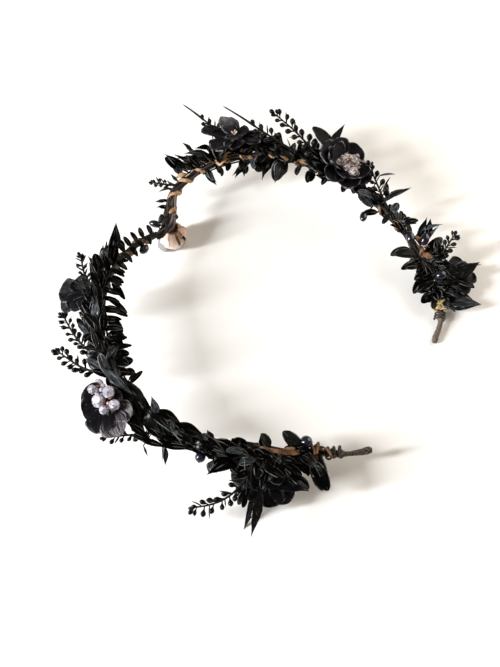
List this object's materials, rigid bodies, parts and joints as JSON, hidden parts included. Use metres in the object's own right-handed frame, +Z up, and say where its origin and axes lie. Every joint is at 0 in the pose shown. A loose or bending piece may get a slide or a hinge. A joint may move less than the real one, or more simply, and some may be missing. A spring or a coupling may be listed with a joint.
{
  "type": "halloween tiara",
  "caption": "Open circlet of dark wire and twigs, wound with paper cord and dressed with black leaves, bud sprigs, flowers, crystals, dark berries and one pale rosebud.",
  "frame": {"origin": "middle of the bounding box, on the surface that the tiara lies on", "axes": "+Z up, off the table; the wearer faces -Y, where the band dips and the rosebud hangs, and the open back is at +Y; +X is the wearer's left"},
  "size_m": [0.2087, 0.1821, 0.0484],
  "materials": {
    "vine": "dull dark brown wire and twigs",
    "tape": "matt grey-brown florist's tape",
    "paper_cord": "matt twisted kraft paper",
    "gold_cord": "matt ochre paper",
    "leaf": "satin near-black leaf with pale veins",
    "sprig": "satin near-black bud sprig",
    "petal": "satin purple-black petal with fine veins",
    "rose": "soft pale petals with brown edges",
    "crystal": "polished with a faint rainbow coat",
    "berry": "gloss blue-black"
  },
  "bodies": {
    "root": {"band": "vine", "tip_left": "tape", "tip_right": "tape", "wrap_front_left": "paper_cord", "wrap_front_right": "paper_cord", "wrap_top": "paper_cord", "wrap_right": "paper_cord", "wrap_lower_left": "paper_cord", "wrap_end_left": "paper_cord", "coil_end_left": "paper_cord", "knot_right": "gold_cord", "fern_left": "leaf", "leaves_left_outer": "leaf", "leaves_left_inner": "leaf", "leaves_lower_left": "leaf", "leaves_end_left": "leaf", "leaves_front_right": "leaf", "leaves_top_inner": "leaf", "leaves_right_mid": "leaf", "leaves_right_inner": "leaf", "leaves_right_outer": "leaf", "sprig_front": "sprig", "sprig_top_a": "sprig", "sprig_top_b": "sprig", "sprig_top_c": "sprig", "sprig_right": "sprig", "sprig_right_end": "sprig", "sprig_left_a": "sprig", "sprig_left_b": "sprig", "sprig_left_c": "sprig", "sprig_lower_left": "sprig", "sprig_end_left": "sprig", "flower_left": "petal", "flower_right": "petal", "flower_top": "petal", "flower_end_left": "petal", "flower_end_right": "petal", "petals_left": "petal", "rosebud": "rose", "crystal_left_1": "crystal", "crystal_left_2": "crystal", "crystal_left_3": "crystal", "crystal_left_4": "crystal", "crystal_left_5": "crystal", "crystal_left_6": "crystal", "crystal_right_1": "crystal", "crystal_right_2": "crystal", "crystal_right_3": "crystal", "crystal_right_4": "crystal", "crystal_right_5": "crystal", "crystal_right_6": "crystal", "pearl_front_left": "berry", "pearl_front_under": "berry", "pearl_lower_left_a": "berry", "pearl_lower_left_b": "berry", "pearl_end_left": "berry", "pearl_right_a": "berry", "pearl_right_b": "berry", "pearl_right_end": "berry", "pearl_right_mid": "berry"}
  },
  "joints": []
}
